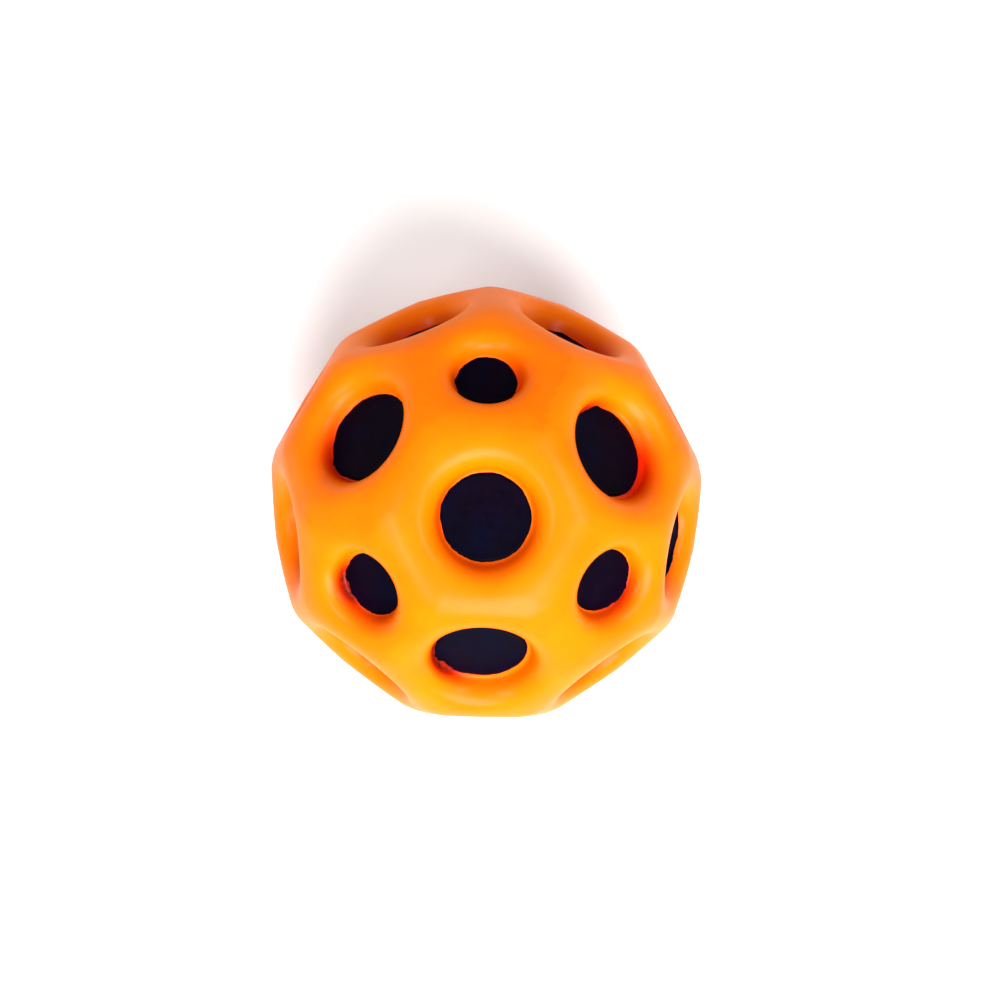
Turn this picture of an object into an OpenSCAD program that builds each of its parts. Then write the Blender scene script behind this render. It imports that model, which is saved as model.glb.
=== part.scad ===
// High-bounce foam ball with craters of two sizes over its whole surface.
// A foam core sits inside a denser orange skin, and every crater has a dark coat on its floor.
// The crater centres are the face centres of a truncated icosahedron: the large craters are
// its hexagons and the small ones its pentagons.
// The origin is the ball's centre. +Z runs through a large crater, and +Y leans towards the
// small crater beside it. The ball stands on the rim of the large crater underneath.

/* [Ball] */
// Diameter over the high points between the craters
ball_d = 70; // [50:1:100]
// Width of the strip of ball surface left between two neighbouring rims
ridge_w = 0.7; // [0.5:0.1:1.5]

/* [Large craters] */
// Diameter of the flat floor
large_floor_d = 14; // [11:0.1:15]
// Depth of the floor below the ball's high points
large_depth = 5.8; // [5:0.1:7]

/* [Small craters] */
// Diameter of the flat floor
small_floor_d = 10; // [7:0.1:10.5]
// Depth of the floor below the ball's high points
small_depth = 4.4; // [4:0.1:5.5]

/* [Crater walls] */
// Lean of the wall away from the crater's axis, in degrees
wall_draft = 18; // [10:1:24]

/* [Skin] */
// Thickness of the dense outer skin
skin_t = 1.2; // [0.8:0.1:1.6]

/* [Floor coats] */
// Thickness of the dark coat
coat_t = 0.35; // [0.25:0.05:0.6]
// Width of bare floor left around the coat
coat_margin = 0.25; // [0.15:0.05:0.6]
// Bevel round the coat's edge
coat_bevel = 0.12; // [0.05:0.01:0.2]

/* [Hidden] */
$fn = 96;
ball_r = ball_d / 2;
// Angle at which a rim runs out into the ball's surface, in degrees
rim_break = 6;
// Angle at which the straight runs of a section cross the rim's round, in degrees
blend_break = 8;
// How far a rim's straight run carries on past the ball's surface
rim_run = 0.35;
// How far a crater's cutter carries on past the ball
cut_over = 1.5;

// Unit vectors of the crater centres, turned so that the first large crater points along +Z
// and a small crater beside it leans towards +Y
golden = (1 + sqrt(5)) / 2;
SIGNS = [1, -1];
function unit(v) = v / norm(v);
function even_turns(v) = [v, [v[1], v[2], v[0]], [v[2], v[0], v[1]]];
up_dir = unit([1, 1, 1]);
lean_dir = unit([0, 1, golden]);
back_dir = unit(lean_dir - (lean_dir * up_dir) * up_dir);
right_dir = cross(back_dir, up_dir);
function turned(v) = [right_dir * unit(v), back_dir * unit(v), up_dir * unit(v)];
LARGE_DIRS = [
    for (x = SIGNS, y = SIGNS, z = SIGNS) turned([x, y, z]),
    for (a = SIGNS, b = SIGNS) each [for (v = even_turns([0, a * golden, b / golden])) turned(v)]
];
SMALL_DIRS = [
    for (a = SIGNS, b = SIGNS) each [for (v = even_turns([0, a, b * golden])) turned(v)]
];
CRATER_DIRS = concat(LARGE_DIRS, SMALL_DIRS);

// Angles from a crater's axis to its rim: each pair of neighbours leaves one ridge between
large_to_large = acos(sqrt(5) / 3);
large_to_small = acos(up_dir * lean_dir);
ridge_angle = ridge_w / ball_r * 180 / PI;
large_rim_angle = (large_to_large - ridge_angle) / 2;
small_rim_angle = large_to_small - large_rim_angle - ridge_angle;

// One size of crater, as [rim angle, floor radius, floor height above the ball's centre]
LARGE = [large_rim_angle, large_floor_d / 2, ball_r - large_depth];
SMALL = [small_rim_angle, small_floor_d / 2, ball_r - small_depth];

// The rim's round is as large as the room between the wall and the ridge lets it be
function rim_end(c) = ball_r * [sin(c[0]), cos(c[0])];
function rim_normal(c) = [sin(c[0] - rim_break), cos(c[0] - rim_break)];
function rim_r(c) =
    (rim_end(c)[0] - (rim_end(c)[1] - c[2]) * tan(wall_draft) - c[1])
    / (rim_normal(c)[0] + cos(wall_draft) + (sin(wall_draft) - rim_normal(c)[1]) * tan(wall_draft));
function rim_centre(c) = rim_end(c) - rim_r(c) * rim_normal(c);

// Half section of the space in one crater, grown all round by inset. The straight runs pass
// just inside the rim's round, so that they cross it cleanly.
module crater_section(c, inset) {
    wall_out = [cos(wall_draft), -sin(wall_draft)];
    wall_up = [sin(wall_draft), cos(wall_draft)];
    rim_out = [rim_normal(c)[1], -rim_normal(c)[0]];
    centre = rim_centre(c);
    round_r = rim_r(c) - inset;
    near_r = round_r * cos(blend_break);
    wall_top = centre - near_r * wall_out;
    wall_foot = wall_top - wall_up * (wall_top[1] - c[2] + inset) / cos(wall_draft);
    rim_start = centre + near_r * rim_normal(c);
    run_end = rim_start + (round_r * sin(blend_break) + rim_run) * rim_out;
    top = ball_r + cut_over;
    difference() {
        polygon([
            [0, c[2] - inset],
            wall_foot,
            wall_top,
            centre,
            rim_start,
            run_end,
            [run_end[0], top],
            [0, top]
        ]);
        translate(centre) circle(round_r);
    }
}

module at(dir) {
    rotate([0, atan2(norm([dir[0], dir[1]]), dir[2]), atan2(dir[1], dir[0])]) children();
}

module crater(i, inset) {
    at(CRATER_DIRS[i]) rotate_extrude() crater_section(i < len(LARGE_DIRS) ? LARGE : SMALL, inset);
}

// The ball with the craters from number i on, drawn in by inset on every surface
module cratered_ball(inset, i = 0) {
    if (i == len(CRATER_DIRS)) sphere(ball_r - inset);
    else difference() {
        cratered_ball(inset, i + 1);
        crater(i, inset);
    }
}

module foam_core() {
    color("#ffb765") cratered_ball(skin_t);
}

module outer_skin() {
    color("#ff8a0a") difference() {
        cratered_ball(0);
        cratered_ball(skin_t);
    }
}

// The dark coat on one crater's floor
module crater_coat(i) {
    c = i < len(LARGE_DIRS) ? LARGE : SMALL;
    coat_r = c[1] - coat_margin;
    color("#17142a") at(CRATER_DIRS[i]) translate([0, 0, c[2]]) rotate_extrude() polygon([
        [0, 0],
        [coat_r, 0],
        [coat_r, coat_t - coat_bevel],
        [coat_r - coat_bevel, coat_t],
        [0, coat_t]
    ]);
}

function numbered(stem, n) = str(stem, n < 10 ? "0" : "", n);
COATS = [
    for (n = [1 : len(LARGE_DIRS)]) numbered("large_crater_coat_", n),
    for (n = [1 : len(SMALL_DIRS)]) numbered("small_crater_coat_", n)
];

foam_core();
outer_skin();
for (i = [0 : len(COATS) - 1]) crater_coat(i);
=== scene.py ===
"""Bouncy ball with craters: one moulded skin and a dark coat of paint on every crater floor.

Lengths are in metres. Sizes are written in millimetres and multiplied by MM.
A crater's section is drawn in two coordinates, (out, up): the distance from the crater's axis
and the height along that axis above the ball's centre.
"""

import math
import random

import bmesh
import bpy
from mathutils import Matrix, Vector, noise


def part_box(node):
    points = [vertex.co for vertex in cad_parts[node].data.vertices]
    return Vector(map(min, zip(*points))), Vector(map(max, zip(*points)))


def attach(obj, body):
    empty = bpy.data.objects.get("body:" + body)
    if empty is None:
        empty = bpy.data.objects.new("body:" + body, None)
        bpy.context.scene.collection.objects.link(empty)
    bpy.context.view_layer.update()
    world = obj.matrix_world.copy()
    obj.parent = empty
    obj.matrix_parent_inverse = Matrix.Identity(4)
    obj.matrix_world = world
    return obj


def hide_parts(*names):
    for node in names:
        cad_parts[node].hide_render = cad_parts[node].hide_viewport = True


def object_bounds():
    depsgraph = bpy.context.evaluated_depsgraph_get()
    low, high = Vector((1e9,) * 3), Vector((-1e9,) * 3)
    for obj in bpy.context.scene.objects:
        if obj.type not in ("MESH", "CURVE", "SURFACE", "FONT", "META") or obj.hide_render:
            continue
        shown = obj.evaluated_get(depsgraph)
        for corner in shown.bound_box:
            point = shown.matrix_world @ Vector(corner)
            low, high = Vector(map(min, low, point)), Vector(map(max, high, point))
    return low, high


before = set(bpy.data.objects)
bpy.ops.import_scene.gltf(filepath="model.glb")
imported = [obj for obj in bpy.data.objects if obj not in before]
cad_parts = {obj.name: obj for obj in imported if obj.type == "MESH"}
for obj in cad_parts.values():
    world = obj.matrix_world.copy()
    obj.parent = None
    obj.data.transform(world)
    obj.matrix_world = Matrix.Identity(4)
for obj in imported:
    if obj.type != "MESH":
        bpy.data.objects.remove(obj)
CAD_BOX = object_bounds()

MM = 0.001
BODY = "root"

# Driving sizes
COAT_T = 0.35 * MM  # thickness of the CAD coats, whose undersides lie on the crater floors
WALL_DRAFT = math.radians(18)  # lean of a crater's wall away from its axis
CREST_DROP = 0.45 * MM  # how far a ridge sags between two of the ball's high points
DENT_DEPTH = 0.16 * MM  # depth of the skin's slow unevenness
DENT_SIZE = 9 * MM


class CraterKind:
    """The sizes that every crater of one kind shares."""

    def __init__(self, floor_r, edge_angle, corner_angle, foot_r, lip_r, coat_r):
        self.floor_r = floor_r  # where the wall's line would meet the floor
        self.edge_angle = edge_angle  # from the axis to the middle of a ridge
        self.corner_angle = corner_angle  # from the axis to the ball's high points
        self.foot_r = foot_r  # radius between floor and wall
        self.lip_r = lip_r  # radius between the wall and the land around the crater
        self.coat_r = coat_r  # mean radius of the paint


# Angles of the truncated icosahedron whose faces the craters lie on
HEXAGON_EDGE = math.acos(math.sqrt(5) / 3) / 2
GOLDEN = (1 + math.sqrt(5)) / 2
HEXAGON_TO_PENTAGON = math.acos((1 + GOLDEN) / math.sqrt(3 * (1 + GOLDEN**2)))
PENTAGON_EDGE = HEXAGON_TO_PENTAGON - HEXAGON_EDGE
SOLID_R = math.sqrt(9 * GOLDEN + 10) / 2  # of that solid with edges of 1
HEXAGON_CORNER = math.asin(1 / SOLID_R)
PENTAGON_CORNER = math.asin(1 / (2 * math.sin(math.pi / 5)) / SOLID_R)

BALL_R = max(abs(corner) for point in CAD_BOX for corner in point)

LARGE = CraterKind(
    floor_r=7.0 * MM,
    edge_angle=HEXAGON_EDGE,
    corner_angle=HEXAGON_CORNER,
    foot_r=0.6 * MM,
    lip_r=3.2 * MM,
    coat_r=6.7 * MM,
)
SMALL = CraterKind(
    floor_r=5.0 * MM,
    edge_angle=PENTAGON_EDGE,
    corner_angle=PENTAGON_CORNER,
    foot_r=0.5 * MM,
    lip_r=2.6 * MM,
    coat_r=4.7 * MM,
)


# How the paint was dabbed on
class PaintJob:
    """How one crater and its paint differ from the even pattern and a round, centred spot.

    Turns are in degrees, from the crater's right towards its back. For the craters that face the
    camera these are right and up in the picture.
    """

    def __init__(self, slide, shares, smear, wall_shade, lean=(0.0, 0.0), floor_share=1.0):
        self.slide = slide  # in metres, to the right and to the back
        self.shares = shares  # of the coat's radius, to the right and to the back
        self.smear_turn = math.radians(smear[0])  # where the paint ran furthest up the wall
        self.smear = smear[1]  # how far it ran there: 1 is a long run
        self.wall_shade_turn = math.radians(wall_shade[0])  # where the painted shade at the wall's foot is the deepest red
        self.wall_shade = wall_shade[1]  # how deep that painted shade is there, 0 to 1
        self.lean = lean  # how far the moulding set this crater off its even place, in metres
        self.floor_share = floor_share  # of the kind's floor, for a crater moulded narrower


# The craters that FRONT_PAINT doesn't name differ at random, seeded by their names
SLIDE_MM = 0.12  # standard deviation, in millimetres
SHARES = (0.93, 1.03)
SMEARS = (0.2, 0.9)
# Range of depth of the painted shade at the wall's foot
WALL_SHADES = (0.2, 0.8)


def random_paint(seed):
    rng = random.Random(seed)
    return PaintJob(
        slide=(rng.gauss(0, SLIDE_MM) * MM, rng.gauss(0, SLIDE_MM) * MM),
        shares=(rng.uniform(*SHARES), rng.uniform(*SHARES)),
        smear=(rng.uniform(0, 360), rng.uniform(*SMEARS)),
        wall_shade=(rng.uniform(0, 360), rng.uniform(*WALL_SHADES)),
    )


# The craters that face the camera best, set one by one
FRONT_PAINT = {
    "large_crater_coat_01": PaintJob(
        slide=(0, 0),
        shares=(0.915, 0.915),
        smear=(175, 0.4),
        wall_shade=(-90, 0.25),
        floor_share=0.92,
    ),
    "large_crater_coat_05": PaintJob(
        slide=(0.2 * MM, 0.1 * MM),
        shares=(1.0, 1.0),
        smear=(50, 0.4),
        wall_shade=(-10, 0.8),
        lean=(0.4 * MM, -0.8 * MM),
    ),
    "large_crater_coat_09": PaintJob(
        slide=(-0.35 * MM, 0.05 * MM),
        shares=(0.97, 0.98),
        smear=(120, 0.65),
        wall_shade=(-35, 1.0),
        lean=(0.1 * MM, -0.6 * MM),
    ),
    "large_crater_coat_10": PaintJob(
        slide=(0, 0.2 * MM),
        shares=(0.96, 0.97),
        smear=(200, 1.1),
        wall_shade=(-10, 0.1),
        lean=(-0.1 * MM, -0.1 * MM),
    ),
    "large_crater_coat_11": PaintJob(
        slide=(0.15 * MM, 0),
        shares=(1.05, 0.99),
        smear=(225, 0.6),
        wall_shade=(225, 0.9),
        lean=(-0.2 * MM, 0.95 * MM),
    ),
    "large_crater_coat_12": PaintJob(
        slide=(0.5 * MM, -0.1 * MM),
        shares=(1.13, 1.10),
        smear=(-25, 0.3),
        wall_shade=(-60, 0.1),
        lean=(-0.9 * MM, -0.45 * MM),
    ),
    "large_crater_coat_14": PaintJob(
        slide=(0, 0.1 * MM),
        shares=(1.0, 1.0),
        smear=(90, 0.3),
        wall_shade=(170, 0.6),
        lean=(0, 0.1 * MM),
    ),
    "small_crater_coat_01": PaintJob(
        slide=(-0.1 * MM, 0),
        shares=(0.90, 0.98),
        smear=(200, 0.5),
        wall_shade=(-10, 0.6),
        lean=(-0.2 * MM, 0),
        floor_share=0.93,
    ),
    "small_crater_coat_02": PaintJob(
        slide=(0, 0),
        shares=(1.04, 1.0),
        smear=(-30, 0.6),
        wall_shade=(-40, 0.5),
        lean=(0.5 * MM, 0.4 * MM),
    ),
    "small_crater_coat_03": PaintJob(
        slide=(0.2 * MM, -0.1 * MM),
        shares=(0.96, 1.02),
        smear=(190, 1.0),
        wall_shade=(-100, 0.5),
        lean=(0.1 * MM, -0.8 * MM),
    ),
}


def towards(turn, middle, sharpness):
    """1 at the middle turn, falling to 0 a quarter turn away."""
    return max(0.0, math.cos(turn - middle)) ** sharpness


# Where the craters are
NEAR_Y = 0.95  # an axis whose Y is larger, either way, takes +Z as its guide to the back
LARGE_AROUND_SMALL = 5


class Crater:
    """One crater, placed by the CAD coat on its floor."""

    def __init__(self, node):
        low, high = (Vector(p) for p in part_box(node))
        middle = (low + high) / 2
        self.node = node
        self.kind = LARGE if node.startswith("large") else SMALL
        self.floor = middle.length - COAT_T / 2
        self.paint = FRONT_PAINT.get(node) or random_paint(node)
        self.floor_r = self.kind.floor_r * self.paint.floor_share
        self.even_axis = middle.normalized()
        self.point_along(self.even_axis)
        right, back = self.paint.lean
        self.point_along(self.axis * self.floor + self.right * right + self.back * back)

    def point_along(self, direction):
        """Sets the axis. Right and back span the plane across it, and back leans towards +Y."""
        self.axis = direction.normalized()
        guide = Vector((0, 1, 0)) if abs(self.axis.y) < NEAR_Y else Vector((0, 0, 1))
        self.back = (guide - guide.dot(self.axis) * self.axis).normalized()
        self.right = self.back.cross(self.axis)

    def place(self, turn, out, up):
        across = self.right * math.cos(turn) + self.back * math.sin(turn)
        return across * out + self.axis * up

    def turn_of(self, direction):
        """The turn round the axis at which a direction lies."""
        return math.atan2(direction.dot(self.back), direction.dot(self.right))


def find_craters():
    return [Crater(name) for name in sorted(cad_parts) if "crater_coat" in name]


def high_points(craters):
    """Directions of the ball's high points, each between two large craters and a small one."""
    large = [c.even_axis for c in craters if c.kind is LARGE]
    points = []
    for small in (c for c in craters if c.kind is SMALL):
        hub = small.even_axis
        near = sorted(large, key=lambda axis: -axis.dot(hub))[:LARGE_AROUND_SMALL]
        near.sort(key=small.turn_of)
        for one, two in zip(near, near[1:] + near[:1]):
            across = (one - two).normalized()
            outward = (one - one.dot(hub) * hub).normalized()
            ridge = outward * math.cos(PENTAGON_EDGE) - hub * math.sin(PENTAGON_EDGE)
            point = across.cross(ridge).normalized()
            points.append(point if point.dot(hub) > 0 else -point)
    return points


# A crater's section
def arc(centre, radius, start, end, steps):
    """Points on an arc. Angles are measured from up towards out."""
    angles = (start + (end - start) * i / steps for i in range(steps + 1))
    return [
        (centre[0] + radius * math.sin(a), centre[1] + radius * math.cos(a)) for a in angles
    ]


def bezier(p0, p1, p2, p3, steps):
    points = []
    for i in range(1, steps + 1):
        t = i / steps
        weights = ((1 - t) ** 3, 3 * t * (1 - t) ** 2, 3 * t * t * (1 - t), t**3)
        points.append(
            tuple(sum(w * p[k] for w, p in zip(weights, (p0, p1, p2, p3))) for k in (0, 1))
        )
    return points


CREST_START = math.radians(-5)  # where the lip's round hands over to the land
FLOOR_RINGS = 3
FOOT_STEPS = 5
WALL_STEPS = 3
LIP_STEPS = 9
CREST_STEPS = 6


def lip_centre(crater):
    """Centre of the round that joins the wall to a land sloping evenly up to the ridge."""
    kind = crater.kind
    sin_draft, tan_draft = math.sin(WALL_DRAFT), math.tan(WALL_DRAFT)
    ridge_out = (BALL_R - CREST_DROP) * math.sin(kind.edge_angle)
    ridge_up = (BALL_R - CREST_DROP) * math.cos(kind.edge_angle)
    slope = math.tan(kind.edge_angle / 2)
    wall_h = ridge_up + ridge_out * slope - kind.lip_r * (1 - sin_draft) - crater.floor
    out = crater.floor_r + wall_h * tan_draft + kind.lip_r * math.cos(WALL_DRAFT)
    out /= 1 + slope * tan_draft
    return out, ridge_up + (ridge_out - out) * slope - kind.lip_r


def foot_start(crater):
    """Where the floor ends and the round up to the wall begins."""
    room = crater.kind.foot_r * (1 - math.sin(WALL_DRAFT)) / math.cos(WALL_DRAFT)
    return crater.floor_r - room


def section_inside(crater):
    """The part of a crater's section that is the same all the way round."""
    kind, floor = crater.kind, crater.floor
    foot_out = foot_start(crater)
    points = [(foot_out * i / FLOOR_RINGS, floor) for i in range(1, FLOOR_RINGS)]
    points += arc(
        (foot_out, floor + kind.foot_r), kind.foot_r, math.pi, math.pi / 2 + WALL_DRAFT, FOOT_STEPS
    )
    lip = arc(
        lip_centre(crater), kind.lip_r, WALL_DRAFT - math.pi / 2, CREST_START, LIP_STEPS
    )
    foot_top, wall_top = points[-1], lip[0]
    for i in range(1, WALL_STEPS):
        t = i / WALL_STEPS
        points.append(tuple(a + (b - a) * t for a, b in zip(foot_top, wall_top)))
    return points + lip


def section_crest(start, angle, drop):
    """The land, from the end of the lip to the middle of the ridge, where it lies level."""
    end_r = BALL_R - drop
    end = (end_r * math.sin(angle), end_r * math.cos(angle))
    reach = math.dist(start, end) / 3
    leave = (math.cos(CREST_START), -math.sin(CREST_START))
    arrive = (math.cos(angle), -math.sin(angle))
    return bezier(
        start,
        (start[0] + reach * leave[0], start[1] + reach * leave[1]),
        (end[0] - reach * arrive[0], end[1] - reach * arrive[1]),
        end,
        CREST_STEPS,
    )


# The skin
EDGE_STEPS = 14  # mesh steps along one edge of a crater's cell
CORNER_SLACK = 1.05  # a cell's own high points lie within this share of the even angle
WELD = 0.002 * MM  # points of neighbouring cells closer than this become one
FOOT_SHADE_H = 2.6 * MM  # how far up the wall the painted shade at the foot reaches
SPRAY_AND_SHADE_H = 2.6 * MM  # how far up the wall the thinnest overspray, partly painted shade, reaches
SPRAY_AND_SHADE_ALL_ROUND = 0.12  # how dark the overspray, partly painted shade, is away from the smear
WALL_SHADE_H = 3.2 * MM  # how far up the wall the deepest red painted shade reaches
SMEAR_SHARPNESS = 3  # how quickly the smear dies away round the crater
WALL_SHADE_SHARPNESS = 1.5


def slerp(a, b, t):
    whole = a.angle(b)
    return (a * math.sin((1 - t) * whole) + b * math.sin(t * whole)) / math.sin(whole)


def cell_edge(crater, corners):
    """(turn, angle from the axis, drop) of the points round the edge of a crater's cell."""
    around = sorted(
        (p for p in corners if p.angle(crater.even_axis) < crater.kind.corner_angle * CORNER_SLACK),
        key=crater.turn_of,
    )
    points = []
    for a, b in zip(around, around[1:] + around[:1]):
        for i in range(EDGE_STEPS):
            t = i / EDGE_STEPS
            p = slerp(a, b, t)
            points.append(
                (crater.turn_of(p), p.angle(crater.axis), CREST_DROP * (1 - (2 * t - 1) ** 2))
            )
    return points


def dented(point):
    """A point of the skin, drawn in by the slow unevenness of a soft moulding."""
    depth = DENT_DEPTH * (0.5 + 0.5 * noise.noise(point / DENT_SIZE))
    return point * (1 - depth / point.length)


def build_skin(craters, corners):
    mesh = bmesh.new()
    foot_shade_mask = mesh.verts.layers.float.new("foot")
    spray_and_shade_mask = mesh.verts.layers.float.new("spray_and_shade")
    wall_shade_mask = mesh.verts.layers.float.new("wall_shade")
    for crater in craters:
        paint = crater.paint
        inside = section_inside(crater)
        hub = mesh.verts.new(dented(crater.axis * crater.floor))
        hub[foot_shade_mask] = 1.0
        hub[spray_and_shade_mask] = 1.0
        columns = []
        for turn, angle, drop in cell_edge(crater, corners):
            smear = paint.smear * towards(turn, paint.smear_turn, SMEAR_SHARPNESS)
            spray_and_shade = SPRAY_AND_SHADE_ALL_ROUND + (1 - SPRAY_AND_SHADE_ALL_ROUND) * smear
            wall_shade = paint.wall_shade * towards(turn, paint.wall_shade_turn, WALL_SHADE_SHARPNESS)
            column = []
            for out, up in inside + section_crest(inside[-1], angle, drop):
                vert = mesh.verts.new(dented(crater.place(turn, out, up)))
                rise = up - crater.floor
                # Painted shade, strongest at the wall's foot
                vert[foot_shade_mask] = max(0.0, 1 - rise / FOOT_SHADE_H)
                # Overspray, whose red is partly painted shade
                vert[spray_and_shade_mask] = spray_and_shade * max(0.0, 1 - rise / SPRAY_AND_SHADE_H)
                # Painted shade, deepest red on one side of the foot
                vert[wall_shade_mask] = wall_shade * max(0.0, 1 - rise / WALL_SHADE_H)
                column.append(vert)
            columns.append(column)
        join_columns(mesh, hub, columns)
    bmesh.ops.remove_doubles(mesh, verts=mesh.verts, dist=WELD)
    bmesh.ops.recalc_face_normals(mesh, faces=mesh.faces)
    return finish_mesh(mesh, "ball_skin")


def join_columns(mesh, hub, columns):
    """Faces between neighbouring columns of points, which all start beside the hub."""
    for one, two in zip(columns, columns[1:] + columns[:1]):
        mesh.faces.new((hub, one[0], two[0]))
        for i in range(len(one) - 1):
            mesh.faces.new((one[i], one[i + 1], two[i + 1], two[i]))


def finish_mesh(mesh, name):
    data = bpy.data.meshes.new(name)
    mesh.to_mesh(data)
    mesh.free()
    for face in data.polygons:
        face.use_smooth = True
    piece = bpy.data.objects.new(name, data)
    bpy.context.scene.collection.objects.link(piece)
    return piece


# The paint
FILM_T = 0.06 * MM  # how far the paint stands above the skin
FILM_TURNS = 180  # points round the paint's edge
FILM_RINGS = 8  # rings of points from its middle to its edge
RING_CROWDING = 0.6  # below 1, the rings crowd towards the paint's edge
RAGGED = 0.16 * MM  # about how far the paint's edge wanders
RUN_UP = 0.9 * MM  # about how far a smear runs up the wall
# Strength and fineness of the noise in the paint's edge and in a smear's upper end
EDGE_WAVES = ((0.7, 2.2), (0.4, 9.0))
TONGUES = ((0.8, 3.0), (0.3, 8.0))
TONGUE_LEVEL = 0.35  # how far up a smear's end lies before its tongues, as a share of RUN_UP
NOISE_SPAN = 50  # each coat's edge is cut from its own place in this much noise


def inside_point(crater, turn, reach, lift):
    """A point on the crater's inside, its reach measured along the floor and up the wall.

    It is lifted along the surface's own normal.
    """
    foot_out, foot_r = foot_start(crater), crater.kind.foot_r
    wall_lean = math.pi / 2 - WALL_DRAFT
    lean = min(max(0.0, (reach - foot_out) / foot_r), wall_lean)
    climb = max(0.0, reach - foot_out - foot_r * wall_lean)
    out = min(reach, foot_out) + foot_r * math.sin(lean) + climb * math.cos(wall_lean)
    up = crater.floor + foot_r * (1 - math.cos(lean)) + climb * math.sin(wall_lean)
    base = dented(crater.place(turn, out, up))
    return base + crater.place(turn, -math.sin(lean) * lift, math.cos(lean) * lift)


def waves(here, shift, kinds):
    """Noise of several kinds, each a strength and a fineness."""
    return sum(strength * noise.noise(here * fineness + shift) for strength, fineness in kinds)


def paint_edge(crater, turn, shift):
    """How far the paint reaches from the crater's axis at one turn."""
    paint = crater.paint
    here = Vector((math.cos(turn), math.sin(turn), 0))
    reach = crater.kind.coat_r * math.hypot(paint.shares[0] * here.x, paint.shares[1] * here.y)
    reach += paint.slide[0] * here.x + paint.slide[1] * here.y
    reach += RAGGED * waves(here, shift, EDGE_WAVES)
    smear = paint.smear * towards(turn, paint.smear_turn, SMEAR_SHARPNESS)
    return reach + RUN_UP * smear * max(0.0, TONGUE_LEVEL + waves(here, -shift, TONGUES))


def build_coat(crater, seed):
    rng = random.Random(seed)
    shift = Vector((rng.uniform(0, NOISE_SPAN), rng.uniform(0, NOISE_SPAN), 0))
    mesh = bmesh.new()
    hub = mesh.verts.new(inside_point(crater, 0, 0, FILM_T))
    columns = []
    for i in range(FILM_TURNS):
        turn = 2 * math.pi * i / FILM_TURNS
        edge = paint_edge(crater, turn, shift)
        rings = [
            (edge * (k / FILM_RINGS) ** RING_CROWDING, FILM_T) for k in range(1, FILM_RINGS + 1)
        ]
        # The film's rim dips into the skin
        rings.append((edge + FILM_T, -FILM_T / 2))
        columns.append(
            [mesh.verts.new(inside_point(crater, turn, reach, lift)) for reach, lift in rings]
        )
    join_columns(mesh, hub, columns)
    return finish_mesh(mesh, crater.node.replace("crater_coat", "floor_paint"))


# Materials
ORANGE = (0.97, 0.165, 0.0, 1.0)
LIGHT_ORANGE = (1.0, 0.185, 0.0, 1.0)
# Painted shade, a deeper red where a crater's wall meets its floor
FOOT_SHADE_ORANGE = (0.90, 0.06, 0.0, 1.0)
FOOT_SHADE_SHARE = 0.2  # of the foot's painted-shade orange, where the wall meets the floor
# Painted shade, the deepest red on one side of a crater's wall foot
WALL_SHADE_RED = (0.72, 0.018, 0.0, 1.0)
# Partly the red of thin overspray, partly painted shade at the wall's foot
SPRAY_AND_SHADE_RED = (0.50, 0.014, 0.0, 1.0)
SPRAY_DARK = (0.05, 0.006, 0.003, 1.0)
PAINT_PURPLE = (0.0034, 0.0008, 0.0068, 1.0)
PAINT_NAVY = (0.0004, 0.0012, 0.0090, 1.0)
PAINT_BLACK = (0.0015, 0.0006, 0.0040, 1.0)
PAINT_THIN = (0.05, 0.01, 0.02, 1.0)
FOAM_DARK = (0.62, 0.24, 0.03, 1.0)
FOAM_LIGHT = (0.85, 0.42, 0.10, 1.0)
WHITE = (1.0, 1.0, 1.0, 1.0)
FLOOR_WHITE = (0.9, 0.9, 0.9, 1.0)

# How wide the patches, grains and waves of the materials are, and how high the bumps
SKIN_PATCH = 6 * MM
SKIN_GLOSS_PATCH = 4 * MM
SKIN_WAVE = 2.5 * MM
SKIN_WAVE_H = 0.05 * MM
SKIN_GRAIN = 0.35 * MM
SKIN_GRAIN_H = 0.012 * MM
SKIN_GLOW_DEPTH = 1.2 * MM
SPRAY_SPECK = 0.6 * MM
CAST_PATCH = 14 * MM
PAINT_PATCH = 2.5 * MM
PAINT_GLOSS_PATCH = 1.2 * MM
THIN_PATCH = 0.8 * MM
PAINT_GRAIN = 0.3 * MM
PAINT_GRAIN_H = 0.02 * MM
FOAM_CELL = 0.5 * MM
FOAM_CELL_H = 0.2 * MM


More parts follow.
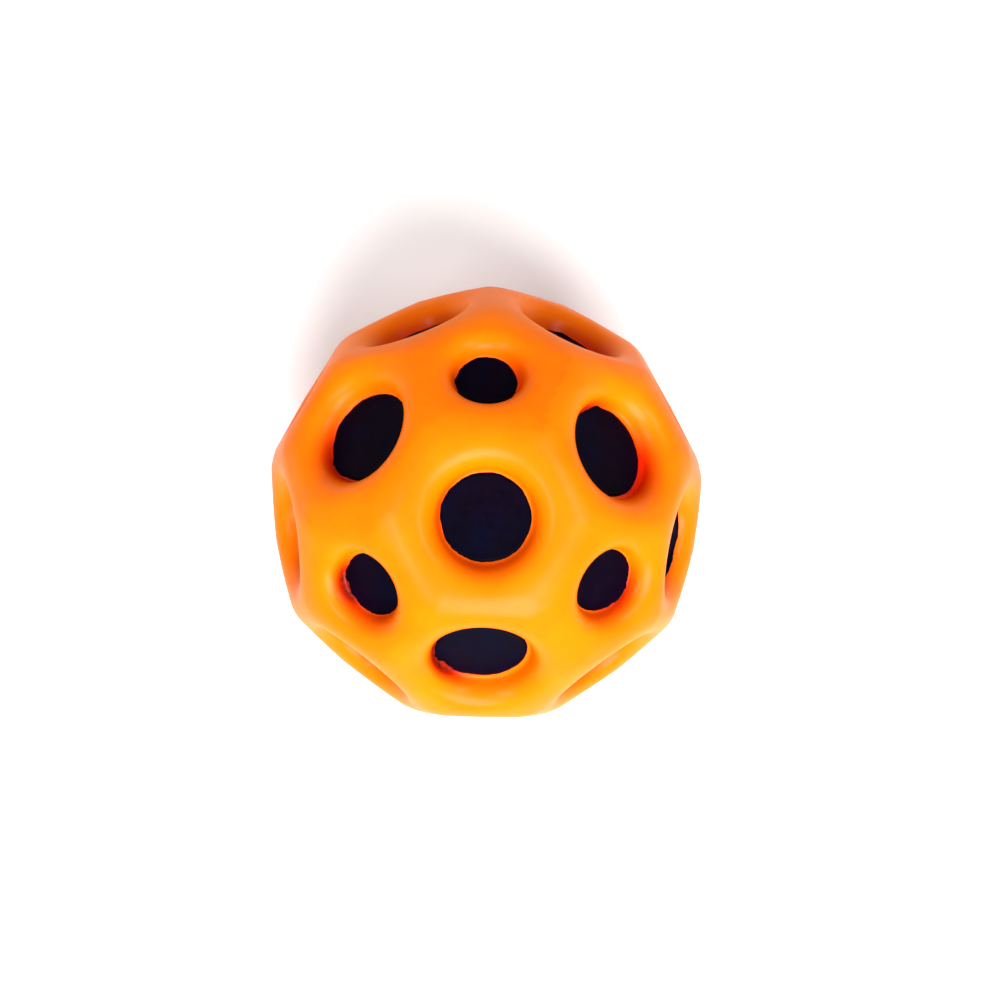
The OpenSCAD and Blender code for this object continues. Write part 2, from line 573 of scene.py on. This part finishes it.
class Nodes:
    """A short way to write a material's node tree."""

    def __init__(self, name):
        self.material = bpy.data.materials.new(name)
        self.material.use_nodes = True
        self.tree = self.material.node_tree

    def put(self, socket, value):
        if isinstance(value, bpy.types.NodeSocket):
            self.tree.links.new(value, socket)
        else:
            socket.default_value = value

    def add(self, kind, inputs, **settings):
        node = self.tree.nodes.new(kind)
        for key, value in settings.items():
            setattr(node, key, value)
        for key, value in inputs.items():
            self.put(node.inputs[key], value)
        return node

    def noise(self, size, detail, rough=0.5):
        place = self.add("ShaderNodeTexCoord", {}).outputs["Object"]
        return self.add(
            "ShaderNodeTexNoise",
            {"Vector": place, "Scale": 1 / size, "Detail": detail, "Roughness": rough},
        ).outputs["Fac"]

    def mask(self, layer):
        return self.add("ShaderNodeAttribute", {}, attribute_name=layer).outputs["Fac"]

    def spread(self, value, low, high, out_low=0.0, out_high=1.0):
        return self.add(
            "ShaderNodeMapRange",
            {
                "Value": value,
                "From Min": low,
                "From Max": high,
                "To Min": out_low,
                "To Max": out_high,
            },
        ).outputs["Result"]

    def times(self, a, b):
        return self.add("ShaderNodeMath", {0: a, 1: b}, operation="MULTIPLY").outputs[0]

    def mix(self, amount, a, b):
        node = self.add("ShaderNodeMix", {}, data_type="RGBA")
        for socket, value in zip((s for s in node.inputs if s.enabled), (amount, a, b)):
            self.put(socket, value)
        return next(s for s in node.outputs if s.enabled)

    def bump(self, height, distance, strength, **normal):
        inputs = {"Height": height, "Distance": distance, "Strength": strength}
        return self.add("ShaderNodeBump", inputs | normal).outputs["Normal"]

    def surface(self, **inputs):
        """Sets the shader's inputs, named with _ for a space."""
        shader = self.tree.nodes["Principled BSDF"]
        for key, value in inputs.items():
            self.put(shader.inputs[key.replace("_", " ")], value)


def skin_material():
    n = Nodes("orange_foam_skin")
    base = n.mix(n.spread(n.noise(SKIN_PATCH, 4), 0.35, 0.65), ORANGE, LIGHT_ORANGE)
    # Painted shade: the skin is a deeper red where the wall meets the floor, most of all on one
    # side
    base = n.mix(n.spread(n.mask("foot"), 0, 1, 0, FOOT_SHADE_SHARE), base, FOOT_SHADE_ORANGE)
    # Painted shade, deepest red on one side of each crater's foot
    base = n.mix(n.spread(n.mask("wall_shade"), 0, 0.8), base, WALL_SHADE_RED)
    # Thin overspray runs up from the paint, red where it is thinnest; that red is partly overspray
    # and partly painted shade at the wall's foot
    spray_and_shade = n.mask("spray_and_shade")
    base = n.mix(n.spread(spray_and_shade, 0.1, 0.6), base, SPRAY_AND_SHADE_RED)
    specks = n.spread(n.noise(SPRAY_SPECK, 5, 0.7), 0.35, 0.65, 0.35, 1.0)
    base = n.mix(n.times(n.spread(spray_and_shade, 0.52, 0.78), specks), base, SPRAY_DARK)
    grain = n.bump(n.noise(SKIN_GRAIN, 4, 0.6), SKIN_GRAIN_H, 0.5)
    n.surface(
        Base_Color=base,
        Roughness=n.spread(n.noise(SKIN_GLOSS_PATCH, 3), 0.3, 0.7, 0.30, 0.38),
        Normal=n.bump(n.noise(SKIN_WAVE, 2), SKIN_WAVE_H, 0.35, Normal=grain),
        IOR=1.04,
        Coat_Weight=0.18,
        Coat_Roughness=0.30,
        Subsurface_Weight=0.12,
        Subsurface_Radius=(1.0, 0.3, 0.1),
        Subsurface_Scale=SKIN_GLOW_DEPTH,
    )
    return n.material


def coat_material():
    n = Nodes("dark_floor_paint")
    base = n.mix(n.spread(n.noise(CAST_PATCH, 1), 0.42, 0.58), PAINT_PURPLE, PAINT_NAVY)
    base = n.mix(n.spread(n.noise(PAINT_PATCH, 4), 0.3, 0.7), base, PAINT_BLACK)
    thin = n.spread(n.noise(THIN_PATCH, 5, 0.65), 0.66, 0.78, 0, 0.25)
    n.surface(
        Base_Color=n.mix(thin, base, PAINT_THIN),
        Roughness=n.spread(n.noise(PAINT_GLOSS_PATCH, 3), 0.3, 0.7, 0.34, 0.48),
        Normal=n.bump(n.noise(PAINT_GRAIN, 4, 0.6), PAINT_GRAIN_H, 0.5),
        IOR=1.09,
    )
    return n.material


def foam_material():
    n = Nodes("inner_foam")
    cells = n.noise(FOAM_CELL, 4, 0.7)
    n.surface(
        Base_Color=n.mix(n.spread(cells, 0.4, 0.6), FOAM_DARK, FOAM_LIGHT),
        Roughness=0.9,
        Normal=n.bump(cells, FOAM_CELL_H, 0.8),
    )
    return n.material


def floor_material():
    n = Nodes("pale_floor")
    n.surface(Base_Color=FLOOR_WHITE, Roughness=0.8)
    return n.material


# Stage, lights and camera
PHOTO_SIZE = 1000  # the photograph's side, in its own pixels
SENSOR = 36.0  # in millimetres, as the camera wants it
VIEW_FROM = Vector((-0.0040, 0.0551, 0.9985))  # from the ball's centre towards the camera
VIEW_UP = Vector((-0.0214, 0.9982, -0.0554))
CAMERA_RADII = 5.0  # the camera's distance, in radii of the ball
BALL_RADIUS_PX = 219.5
BALL_AT_PX = (485.5, 505.5)
CLIP_START = 0.01

FLOOR_HALF = 3.0  # half the floor's side
WORLD_STRENGTH = 0.31
# Name, place, width, height and watts of each soft light
LIGHTS = [
    ("front_softbox", (0.13, -0.51, 0.61), 0.6, 0.6, 12.9),
    ("back_softbox", (-0.15, 0.55, 0.50), 0.8, 0.8, 0.2),
    ("left_strip", (-0.45, -0.20, 0.71), 0.12, 0.6, 3.2),
    ("right_strip", (0.46, 0.05, 0.72), 0.12, 0.5, 2.4),
]
LIGHT_UP = Vector((0.01, 1, 0.02))  # along the height of a light


def add_floor():
    data = bpy.data.meshes.new("floor")
    low = CAD_BOX[0][2]
    sides = [(-1, -1), (1, -1), (1, 1), (-1, 1)]
    corners = [(x * FLOOR_HALF, y * FLOOR_HALF, low) for x, y in sides]
    data.from_pydata(corners, [], [(0, 1, 2, 3)])
    data.materials.append(floor_material())
    floor = bpy.data.objects.new("floor", data)
    bpy.context.scene.collection.objects.link(floor)


def aim(thing, place, up):
    """Puts a thing at a place, looking at the ball's centre."""
    back = place.normalized()
    right = up.cross(back).normalized()
    turn = Matrix((right, back.cross(right), back)).transposed()
    thing.matrix_world = Matrix.Translation(place) @ turn.to_4x4()


def add_light(name, place, width, height, watts):
    data = bpy.data.lights.new(name, "AREA")
    data.shape = "ELLIPSE"
    data.size = width
    data.size_y = height
    data.energy = watts
    light = bpy.data.objects.new(name, data)
    bpy.context.scene.collection.objects.link(light)
    aim(light, Vector(place), LIGHT_UP)


def add_world():
    world = bpy.data.worlds.new("studio")
    world.use_nodes = True
    sky = world.node_tree.nodes["Background"]
    sky.inputs["Color"].default_value = WHITE
    sky.inputs["Strength"].default_value = WORLD_STRENGTH
    bpy.context.scene.world = world
    bpy.context.scene.view_settings.view_transform = "Standard"


def add_camera():
    data = bpy.data.cameras.new("camera")
    data.sensor_width = SENSOR
    focal_px = BALL_RADIUS_PX * math.sqrt(CAMERA_RADII**2 - 1)
    data.lens = SENSOR * focal_px / PHOTO_SIZE
    middle = PHOTO_SIZE / 2
    data.shift_x = (middle - BALL_AT_PX[0]) / PHOTO_SIZE
    data.shift_y = (BALL_AT_PX[1] - middle) / PHOTO_SIZE
    data.clip_start = CLIP_START
    camera = bpy.data.objects.new("camera", data)
    bpy.context.scene.collection.objects.link(camera)
    aim(camera, VIEW_FROM.normalized() * CAMERA_RADII * BALL_R, VIEW_UP)
    bpy.context.scene.camera = camera


# Build
def dress(piece, material, node):
    piece.data.materials.append(material)
    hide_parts(node)
    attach(piece, BODY)


def main():
    craters = find_craters()
    dress(build_skin(craters, high_points(craters)), skin_material(), "outer_skin")
    paint = coat_material()
    for seed, crater in enumerate(craters):
        dress(build_coat(crater, seed), paint, crater.node)
    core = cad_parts["foam_core"]
    core.data.materials.clear()
    core.data.materials.append(foam_material())
    add_floor()
    for light in LIGHTS:
        add_light(*light)
    add_world()
    add_camera()


main()
